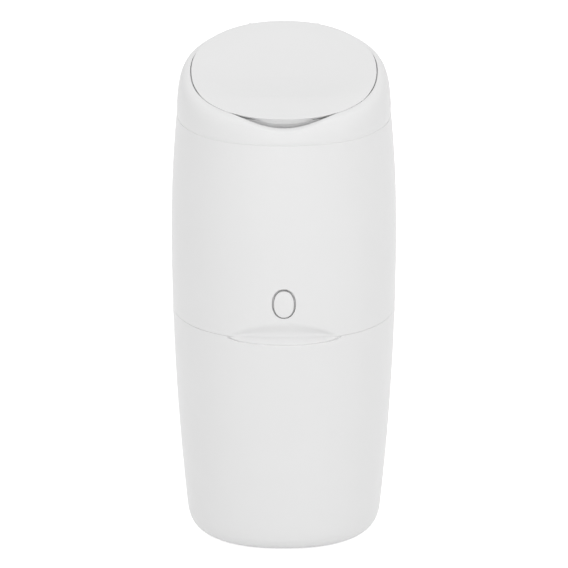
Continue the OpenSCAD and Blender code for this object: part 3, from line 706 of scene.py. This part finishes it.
def settle_scoop(v, r, z):
    """Presses the finger scoop into the housing's front wall."""
    if v.co.y > 0 or z > PARTING_Z + SCOOP_H:
        return
    v.co.y += scoop_depth(v.co.x, z)
    foot = body_r(PARTING_Z)
    if z < PARTING_Z + PART_GAP / 2 + EDGE_R and r > foot - EDGE_R - 0.05:
        side = scoop_side(v.co.x, SCOOP_SHUT)
        v.co.y -= (foot - r) * side
        v.co.z = z + (PARTING_Z - z) * side


def boss_place(turn):
    return Vector(plan_point(body_r(SHOULDER_Z) - WALL - BOSS_R - BOSS_CLEAR, math.radians(turn)))


def housing_bosses():
    """Bosses under the ledge, each with a web to the wall."""
    made = []
    for turn in BOSS_TURNS:
        p = boss_place(turn)
        wall = Vector(plan_point(body_r(DECK_Z) - WALL / 2, math.radians(turn)))
        reach = wall.length - p.length
        made.append(round_bar((p.x, p.y, DECK_Z - BOSS_H), (0, 0, 1), BOSS_R, BOSS_H - BOSS_SLIP, soft=0.5))
        web = bmesh.new()
        bmesh.ops.create_cube(web, size=1)
        bmesh.ops.scale(web, vec=(reach, 2 * BOSS_R - 0.6, BOSS_H - BOSS_SLIP), verts=web.verts[:])
        bmesh.ops.translate(web, vec=(reach / 2, 0, DECK_Z - (BOSS_H + BOSS_SLIP) / 2), verts=web.verts[:])
        out = math.atan2(p.y, p.x)
        bmesh.ops.rotate(web, cent=(0, 0, 0), matrix=Matrix.Rotation(out, 3, "Z"), verts=web.verts[:])
        bmesh.ops.translate(web, vec=(p.x, p.y, 0), verts=web.verts[:])
        soften_edges(web, 0.5)
        made.append(web)
    return made


# Front wall at the button, and the two screwed parts' places
FRONT_OUT = -body_r(BUTTON_Z)
FRONT_IN = FRONT_OUT + WALL
SEAT_R = 4.0
GUIDE_FACE = FRONT_IN + 4.6
GUIDE_SCREW_X = BUTTON_W / 2 + 7.4
CUTTER_Z = PARTING_Z + 66
CUTTER_IN = body_r(CUTTER_Z) - WALL
CUTTER_FACE = CUTTER_IN - 7.4
CUTTER_LEN = 44.0


def housing_seats():
    """Seats of the button guide and of the film cutter."""
    made = []
    for s in (-1, 1):
        guide = (s * GUIDE_SCREW_X, FRONT_OUT + WALL / 2, BUTTON_Z)
        made.append(round_bar(guide, (0, 1, 0), SEAT_R, GUIDE_FACE - FRONT_OUT - WALL / 2))
        cutter = (CUTTER_FACE, s * CUTTER_LEN / 4, CUTTER_Z)
        made.append(round_bar(cutter, (1, 0, 0), SEAT_R, CUTTER_IN - CUTTER_FACE + WALL / 2))
    return made


housing = spun(housing_path(), ring=True, settle=settle_scoop)
housing = carved(housing, oval_prism(OPENING_W, OPENING_H, FRONT_OUT - 20, FRONT_IN + 5, OPENING_RISE))
finish_piece(
    joined(housing, tilt_knuckle(-TILT_W / 2, TILT_W, 1), *housing_bosses(), *housing_seats()),
    "housing_shell", "upper", ["upper_housing"], SHELL_WHITE,
)


# Collar

def collar_r(q):
    """Half width of the collar's dome at turn q, from the shoulder up."""
    end = math.cos(math.radians(COLLAR_TURN))
    return LID_R + (SHOULDER_R - LID_R) * math.sqrt(max(0.0, (math.cos(math.radians(q)) - end) / (1 - end)))


def collar_path():
    path = softened([
        (SHOULDER_R - WALL, SHOULDER_Z, 0), (SHOULDER_R - CREASE_D, SHOULDER_Z, 0.1),
        (SHOULDER_R - 0.8 * CREASE_D, SHOULDER_Z + 1, 0),
    ])
    q = 3.5
    while q < COLLAR_TURN:
        f = math.sin(math.radians(q)) / math.sin(math.radians(COLLAR_TURN))
        if collar_r(q) < LID_R + 1.2:
            break
        tuck = CREASE_D * max(0.0, 1 - f * COLLAR_H / CREASE_H) ** 2
        path.append((collar_r(q) - tuck, SHOULDER_Z + f * COLLAR_H, f * LID_R / collar_r(q)))
        q += 1 if q < 62 else 0.5
    path += softened([
        (LID_R + 1.1, LID_Z, 0, LID_R / (LID_R + 1.1)), (LID_R, LID_Z, 0.5, 1), (LID_R, LID_Z - SEAT_D, 0.5, 1),
        (LID_R - SEAT_W, LID_Z - SEAT_D, 0.5, 1), (LID_R - SEAT_W, LID_Z - SEAT_H, 0.5, 1),
        (LID_R - 2, LID_Z - SEAT_H - 1, 0, 1),
    ])
    start = Vector((LID_R - 2, LID_Z - SEAT_H - 1, 1))
    inner = SHOULDER_R - 1.8 * WALL
    end = Vector((inner, SHOULDER_Z + 0.3 * COLLAR_H, 0.3 * LID_R / inner))
    for k in range(1, 13):
        p = start.lerp(end, k / 12)
        path.append((p.x, p.y, p.z))
    return path


def collar_front(x, z):
    """How far forward the collar's skin lies at a height, beside the finger pocket."""
    low, high = 0.0, COLLAR_TURN
    for _ in range(30):
        q = (low + high) / 2
        f = math.sin(math.radians(q)) / math.sin(math.radians(COLLAR_TURN))
        rim = lid_plane(-plan_y(LID_R, x))
        if SHOULDER_Z + f * (rim - SHOULDER_Z) < z:
            low = q
        else:
            high = q
    return plan_y(collar_r(low), x)


def pocket_cutter():
    """The finger pocket in front of the lid: undercut behind, with a trench at its foot and a rolled outer edge."""
    half = POCKET_W / 2 + POCKET_END
    bm = bmesh.new()
    rows = []
    for i in range(POCKET_COLUMNS + 1):
        x = -half + 2 * half * i / POCKET_COLUMNS
        middle = max(0.0, 1 - (2 * x / POCKET_W) ** 2)
        edge = -plan_y(LID_R, x)
        rim = lid_plane(edge)
        floor = rim - POCKET_DEPTH * middle ** POCKET_POWER + POCKET_END * max(0.0, 2 * abs(x) / POCKET_W - 1)
        back = -plan_y(LID_R - POCKET_BACK - POCKET_UNDER * middle, x)
        trench = POCKET_TRENCH * ramp((half - abs(x)) / POCKET_END)
        crest = edge - 0.4 - CREST_OUT * middle ** 0.5
        level = min(floor, rim - 0.05)
        skin = min(crest - 0.3, -collar_front(x, level))
        fall = 0.1 + ROLL_FALL * middle
        foot = min(skin - 0.3, -collar_front(x, level - fall))
        inner = min(edge + 0.2, back - 0.4)
        section = [(back, floor + CUT), (back, floor - trench), (inner, floor - trench)]
        for k in range(5):
            a = math.radians(90 - 18 * k)
            section.append((crest + (inner - crest) * math.sin(a), floor - 0.5 * trench * (1 - math.cos(a))))
        for k in range(11):
            t = k / 10
            section.append(((1 - t) ** 2 * crest + 2 * t * (1 - t) * skin + t * t * foot, floor - t * t * fall))
        section += [(foot - 8, floor - fall), (foot - 8, floor + CUT)]
        rows.append([bm.verts.new((x, y, z)) for y, z in section])
    for left, right in zip(rows, rows[1:]):
        for k in range(len(left)):
            n = (k + 1) % len(left)
            bm.faces.new((left[k], left[n], right[n], right[k]))
    bm.faces.new(rows[0])
    bm.faces.new(rows[-1])
    bmesh.ops.recalc_face_normals(bm, faces=bm.faces[:])
    return bm


def settle_collar(v, r, z):
    """Lets the rear of the rim down, so that the lid's edge stands over it."""
    if v.co.y > 0 and z > LID_Z - 12:
        v.co.z -= REAR_DIP * ramp(v.co.y / 70) * ramp((SHOULDER_R - r) / 12)


def tongue_notch():
    """Room over the rear rim for the lid's tongue and knuckle."""
    rim = lid_plane(LID_R)
    foot = LID_HINGE_Z - LID_KNUCKLE_R - 0.8
    points = [
        (LID_R - 5, rim + CUT), (LID_R - 5, rim - SEAT_D), (LID_R, rim - SEAT_D - 1),
        (LID_HINGE_Y - 4.6, LID_HINGE_Z - 2.6), (LID_HINGE_Y, foot),
        (LID_HINGE_Y + CUT, foot), (LID_HINGE_Y + CUT, rim + CUT),
    ]
    return outline_prism(points, -LID_EAR_X, 2 * LID_EAR_X, 0)


def collar_fixings():
    """Ears that hold the lid's pin, and posts that the frame screws pull on."""
    made = [round_bar((x, LID_HINGE_Y, LID_HINGE_Z), (1, 0, 0), LID_KNUCKLE_R + 0.7, LID_EAR_W, soft=0.6)
            for x in (LID_EAR_X, -LID_EAR_X - LID_EAR_W)]
    for turn in BOSS_TURNS:
        p = boss_place(turn)
        top = lid_plane(plan_point(LID_R, math.radians(turn))[1])
        height = POST_H + 0.5 * (top - SHOULDER_Z)
        made.append(round_bar((p.x, p.y, DECK_Z + 3), (0, 0, 1), BOSS_R, height, soft=0.5))
    return made


collar = carved(spun(collar_path(), ring=True, around=384, settle=settle_collar), pocket_cutter())
collar = carved(collar, tongue_notch())
finish_piece(
    joined(collar, *collar_fixings()), "collar_shell", "upper", ["top_collar"], SHELL_WHITE,
)


# Lid

LID_EDGE = LID_R - LID_GAP
BROW_Y = -0.55 * LID_R


def brow_at(y):
    """Height of the soft brow near the lid's front."""
    if y < BROW_Y:
        return BROW * (1 - ((BROW_Y - y) / (LID_R + BROW_Y)) ** 2)
    return BROW * max(0.0, 1 - (y - BROW_Y) / (0.7 * LID_R)) ** 2


def settle_lid(v, r, z):
    """Grows the lid's edge over its gap, shapes dish and brow, and hangs a lip into the finger pocket."""
    if r > 0.9 * LID_EDGE and z > LID_Z - LID_T:
        lean = v.co.y / LID_EDGE
        beside = ramp((abs(v.co.x) - POCKET_W / 2) / 4)
        grow = FRONT_GROW * ramp((-lean - 0.4) / 0.2) * beside + REAR_GROW * ramp((lean - 0.15) / 0.5)
        v.co.x *= 1 + grow / r
        v.co.y *= 1 + grow / r
    if z > LID_Z - LID_T - 0.5:
        f = min(1.0, r / LID_EDGE)
        v.co.z += (1 - f ** 4) * (brow_at(v.co.y) - DISH * (1 - f * f))
        v.co.z += LID_PROUD * (1 + v.co.y / LID_EDGE) / 2 * min(1.0, (z - LID_Z + LID_T + 0.5) / 1.5)
        v.co.z = min(v.co.z, LID_TOP)
    elif r > LID_EDGE - LID_TAPER - 1.5 and v.co.y < 0 and abs(v.co.x) < LIP_HALF:
        lip = LIP_DEPTH * (1 - (v.co.x / LIP_HALF) ** 2) - LID_RIM_T
        v.co.z -= max(0.0, lip)
        v.co.y -= LIP_REACH * ramp(lip / (LIP_DEPTH - LID_RIM_T) * 2)


def lid_path():
    path = [(0.0, LID_Z, 1.0)]
    for k in range(1, 33):
        path.append((0.96 * LID_EDGE * k / 33, LID_Z, 1.0))
    low = LID_Z - LID_RIM_T
    inner = LID_EDGE - LID_TAPER
    path += softened([
        (0.965 * LID_EDGE, LID_Z, 0, 1), (LID_EDGE, LID_Z, 0.6, 1), (LID_EDGE, LID_Z - 0.7, 0.2, 1),
        (inner, low, 0.4, 1), (inner - 1.3, low, 0.2, 1), (inner - 1.6, low, 0, 1),
        (0.88 * LID_EDGE, low, 0.5, 1), (0.85 * LID_EDGE, LID_Z - LID_T, 0, 1),
    ])
    for k in range(16, -1, -1):
        path.append((0.84 * LID_EDGE * k / 17, LID_Z - LID_T, 1.0))
    return path


def lid_tongue():
    """Tongue over the rear rim, down to the hinge's knuckle."""
    root = LID_R - 8
    points = [
        (root, lid_plane(root) - LID_RIM_T + 0.5), (root, lid_plane(root) - 1), (LID_EDGE, lid_plane(LID_EDGE) - 0.8),
    ]
    for k in range(17):
        a = math.radians(75 - 255 * k / 16)
        points.append((LID_HINGE_Y + LID_KNUCKLE_R * math.cos(a), LID_HINGE_Z + LID_KNUCKLE_R * math.sin(a)))
    points.append((LID_EDGE, lid_plane(LID_EDGE) - LID_RIM_T + 0.3))
    return outline_prism(points, -LID_KNUCKLE_W / 2, LID_KNUCKLE_W, 0.7)


finish_piece(
    joined(spun(lid_path(), settle=settle_lid), lid_tongue()),
    "lid_shell", "lid_panel", ["lid"], SHELL_WHITE,
)

LINER_R = LID_R - SEAT_W - 4.5
liner_path = softened([
    (0, LID_Z - LINER_LOW, 0, 1), (LINER_R - 4, LID_Z - LINER_LOW, 2, 1), (LINER_R, LID_Z - 9, 2, 1),
    (LINER_R, LID_Z - LID_RIM_T, 0.3, 1), (LINER_R - 1.2, LID_Z - LID_RIM_T, 0.3, 1), (LINER_R - 2, LID_Z - 9, 1, 1),
    (LINER_R - 6, LID_Z - LINER_LOW + LINER_T, 1, 1), (0, LID_Z - LINER_LOW + LINER_T, 0, 1),
])
finish_piece(
    spun(liner_path, around=192), "lid_liner_fine", "lid_panel", ["lid_liner"], INNER_WHITE,
)

LID_SEAL_R = LID_EDGE - LID_TAPER - 0.4
seal_path = softened([
    (LID_SEAL_R - LID_SEAL_W, LID_Z - SEAT_D + SLIP, 0.5, 1), (LID_SEAL_R, LID_Z - SEAT_D + SLIP, 0.5, 1),
    (LID_SEAL_R, LID_Z - LID_RIM_T, 0, 1), (LID_SEAL_R - LID_SEAL_W, LID_Z - LID_RIM_T, 0, 1),
], ring=True)
finish_piece(
    spun(seal_path, ring=True, around=192), "lid_seal_fine", "lid_panel", ["lid_seal"], GREY_RUBBER,
)


# Button

def button_mesh():
    """The cap, softened round its face, and the thin flange that keeps it in."""
    width, height = (size - 2 * BUTTON_GAP for size in (BUTTON_W, BUTTON_H))
    cap = oval_prism(width, height + CAP_TALLER, FRONT_OUT, FRONT_IN + FLANGE_FRONT)
    rim = [e for e in cap.edges if all(abs(v.co.y - FRONT_OUT) < 1e-3 for v in e.verts)]
    bmesh.ops.bevel(
        cap, geom=rim, offset=CAP_ROUND, offset_type="OFFSET", segments=4, profile=0.5,
        affect="EDGES", clamp_overlap=True, material=-1,
    )
    width, height = (size + 2 * FLANGE_OUT for size in (BUTTON_W, BUTTON_H))
    flange = oval_prism(width, height, FRONT_IN + FLANGE_FRONT, FRONT_IN + FLANGE_BACK)
    soften_edges(flange, 0.2)
    return joined(cap, flange)


finish_piece(button_mesh(), "button_cap_fine", "latch", ["button_cap"], SHELL_WHITE)


# Springs

def wire(points, d, name, body, node):
    """A round wire through the points, with flat ends."""
    curve = bpy.data.curves.new(name, "CURVE")
    curve.dimensions = "3D"
    curve.bevel_depth = d / 2
    curve.bevel_resolution = 3
    curve.use_fill_caps = True
    spline = curve.splines.new("POLY")
    spline.points.add(len(points) - 1)
    for p, co in zip(spline.points, points):
        p.co = (*co, 1)
    rod = bpy.data.objects.new(name + "_path", curve)
    bpy.context.scene.collection.objects.link(rod)
    bpy.context.view_layer.update()
    drawn = bpy.data.meshes.new_from_object(rod.evaluated_get(bpy.context.evaluated_depsgraph_get()))
    bpy.data.objects.remove(rod)
    bm = bmesh.new()
    bm.from_mesh(drawn)
    bpy.data.meshes.remove(drawn)
    bmesh.ops.remove_doubles(bm, verts=bm.verts[:], dist=1e-4)
    bmesh.ops.recalc_face_normals(bm, faces=bm.faces[:])
    return finish_piece(bm, name, body, [node], STEEL, sharp=50)


def flap_spring_points(side):
    """A torsion spring: leg up to the frame, coils round the pin, leg on to the flap."""
    points = [(PIVOT_X + COIL_R, COIL_Y, PLATE_Z - SLIP), (PIVOT_X + COIL_R, COIL_Y, PIVOT_Z + 1)]
    for i in range(int(COIL_STEPS * COIL_CURLS) + 1):
        a = -2 * math.pi * i / COIL_STEPS
        y = COIL_Y + COIL_PITCH * i / COIL_STEPS
        points.append((PIVOT_X + COIL_R * math.cos(a), y, PIVOT_Z + COIL_R * math.sin(a)))
    end = COIL_Y + COIL_PITCH * COIL_CURLS
    points.append((math.sqrt(FLAP_R ** 2 - end ** 2) - 4, end, FLAP_Z - SLIP - COIL_D / 2))
    return [(side * x, y, z) for x, y, z in points]


def button_spring_points(front):
    """A compression spring that begins just behind the latch's arm."""
    start = front + SLIP + PRESS_COIL_D / 2
    pitch = (PRESS_LEN - 2 * SLIP - PRESS_COIL_D) / PRESS_CURLS
    mid = BUTTON_Z + 1
    points = []
    for i in range(COIL_STEPS * PRESS_CURLS + 1):
        a = 2 * math.pi * i / COIL_STEPS
        points.append((PRESS_COIL_R * math.cos(a), start + pitch * i / COIL_STEPS, mid + PRESS_COIL_R * math.sin(a)))
    return points


wire(flap_spring_points(-1), COIL_D, "left_spring_wire", "left_flap", "left_jaw_spring")
wire(flap_spring_points(1), COIL_D, "right_spring_wire", "right_flap", "right_jaw_spring")
arm_back = -(body_r(PARTING_Z) - RIM_W) + ARM_GAP + ARM_T
button_wire = wire(
    button_spring_points(arm_back), PRESS_COIL_D, "button_spring_wire",
    frame["nodes"]["button_spring"]["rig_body"], "button_spring",
)
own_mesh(button_wire)


# Film, folded round the cassette's channel

def film_path():
    low = CASSETTE_Z + CHANNEL_WALL
    high = low + CASSETTE_H - CHANNEL_WALL - 5
    outer, inner = CASSETTE_R - CHANNEL_WALL - 1, CASSETTE_IN + CHANNEL_WALL + 1
    steps = 2 * FOLDS
    path = []
    for i in range(steps + 1):
        path.append((outer - FOLD_D * (i % 2) - 0.25 * math.sin(i * 2.1), low + (high - low) * i / steps, 0.0))
    for i in range(steps, -1, -1):
        path.append((inner + FOLD_D * (i % 2) + 0.25 * math.sin(i * 1.7), low + (high - low) * i / steps, 0.0))
    return path


def settle_film(v, r, z):
    """Lets the folds swell a little unevenly round the ring."""
    a = math.atan2(v.co.y, v.co.x)
    swell = 1 + 0.002 * math.sin(31 * a + z) + 0.0015 * math.sin(53 * a - 1.7 * z)
    v.co.x *= swell
    v.co.y *= swell


finish_piece(
    spun(film_path(), ring=True, around=240, squared=False, settle=settle_film),
    "film_folds", "upper", ["film_pack"], FILM, sharp=60,
)


# The other parts keep their CAD form, with softened edges
for node, material, slot, soft in (
    ("chute", INNER_WHITE, "inner_plastic", 0.5),
    ("jaw_frame", INNER_WHITE, "inner_plastic", 0.4),
    ("cutter_guard", INNER_WHITE, "inner_plastic", 0.4),
    ("button_guide", INNER_WHITE, "inner_plastic", 0.35),
    ("latch_slide", INNER_WHITE, "inner_plastic", 0.35),
    ("left_jaw", INNER_WHITE, "inner_plastic", 0.4),
    ("right_jaw", INNER_WHITE, "inner_plastic", 0.4),
    ("cassette_body", CASSETTE_WHITE, "cassette_plastic", 0.4),
    ("cassette_cap", CASSETTE_BLUE, "cassette_cap_plastic", 0.3),
    ("left_jaw_seal", GREY_RUBBER, "grey_rubber", 0.4),
    ("right_jaw_seal", GREY_RUBBER, "grey_rubber", 0.4),
    ("frame_screws", STEEL, "steel", 0.15),
    ("jaw_frame_screws", STEEL, "steel", 0.15),
    ("cutter_screws", STEEL, "steel", 0.12),
    ("guide_screws", STEEL, "steel", 0.12),
    ("cutter_blade", STEEL, "steel", 0.05),
    ("tilt_hinge_pin", STEEL, "steel", 0.3),
    ("lid_hinge_pin", STEEL, "steel", 0.25),
    ("left_jaw_pin", STEEL, "steel", 0.25),
    ("right_jaw_pin", STEEL, "steel", 0.25),
):
    refined(node, frame["nodes"][node]["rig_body"], material, soft)


# Camera, floor and light

def add_camera():
    data = bpy.data.cameras.new("camera")
    data.sensor_fit = "HORIZONTAL"
    data.sensor_width = 36
    data.lens = data.sensor_width * FOCAL_PX / PICTURE_PX
    data.clip_start = 0.1
    data.clip_end = 50
    data.shift_x, data.shift_y = (shift / PICTURE_PX for shift in SHIFT_PX)
    camera = bpy.data.objects.new("camera", data)
    camera.location = CAMERA_PLACE
    camera.rotation_euler = (math.radians(90 - CAMERA_PITCH), 0, 0)
    bpy.context.scene.collection.objects.link(camera)
    bpy.context.scene.camera = camera


def add_lamp(name, place, size, power):
    data = bpy.data.lights.new(name, "AREA")
    data.shape = "DISK"
    data.size = size
    data.energy = power
    lamp = bpy.data.objects.new(name, data)
    lamp.location = place
    lamp.rotation_euler = (Vector(LAMP_AIM) - Vector(place)).to_track_quat("-Z", "Y").to_euler()
    bpy.context.scene.collection.objects.link(lamp)


def ray_mask(nodes, links):
    """One for rays from the camera, in reflections and through film, nothing for light on the object."""
    path = nodes.new("ShaderNodeLightPath")
    mask = path.outputs["Is Camera Ray"]
    for ray in ("Is Glossy Ray", "Is Transmission Ray"):
        either = nodes.new("ShaderNodeMath")
        either.operation = "MAXIMUM"
        links.new(mask, either.inputs[0])
        links.new(path.outputs[ray], either.inputs[1])
        mask = either.outputs["Value"]
    return mask


def add_floor():
    """A pale floor that the camera sees as white, and that still takes the bin's shadow."""
    bm = bmesh.new()
    bmesh.ops.create_grid(bm, x_segments=4, y_segments=4, size=8)
    mesh = bpy.data.meshes.new("floor")
    bm.to_mesh(mesh)
    bm.free()
    material = bpy.data.materials.new("studio_floor")
    material.use_nodes = True
    nodes, links = material.node_tree.nodes, material.node_tree.links
    shader = nodes["Principled BSDF"]
    shader.inputs["Base Color"].default_value = (0.8, 0.8, 0.8, 1)
    shader.inputs["Roughness"].default_value = 0.9
    shader.inputs["Specular IOR Level"].default_value = 0.0
    lift = nodes.new("ShaderNodeMath")
    lift.operation = "MULTIPLY"
    lift.inputs[1].default_value = 0.8
    links.new(ray_mask(nodes, links), lift.inputs[0])
    shader.inputs["Emission Color"].default_value = (1, 1, 1, 1)
    links.new(lift.outputs["Value"], shader.inputs["Emission Strength"])
    mesh.materials.append(material)
    floor = bpy.data.objects.new("floor", mesh)
    bpy.context.scene.collection.objects.link(floor)


def light_world(level):
    """White to the eye and in reflections, and a plain level of light on the object."""
    world = bpy.data.worlds.new("studio")
    world.use_nodes = True
    nodes, links = world.node_tree.nodes, world.node_tree.links
    backdrop = nodes["Background"]
    backdrop.inputs["Color"].default_value = (1, 1, 1, 1)
    strength = nodes.new("ShaderNodeMapRange")
    strength.inputs["To Min"].default_value = level
    strength.inputs["To Max"].default_value = 1.0
    links.new(ray_mask(nodes, links), strength.inputs["Value"])
    links.new(strength.outputs["Result"], backdrop.inputs["Strength"])
    bpy.context.scene.world = world


add_camera()
add_floor()
light_world(0.753)
add_lamp("front", (0.0, -4.0, 0.9), size=1.6, power=24)
add_lamp("right", (3.0, -3.0, 1.6), size=2.0, power=8)
add_lamp("top", (0.0, -0.6, 4.0), size=2.4, power=19)
bpy.context.scene.view_settings.view_transform = "Standard"
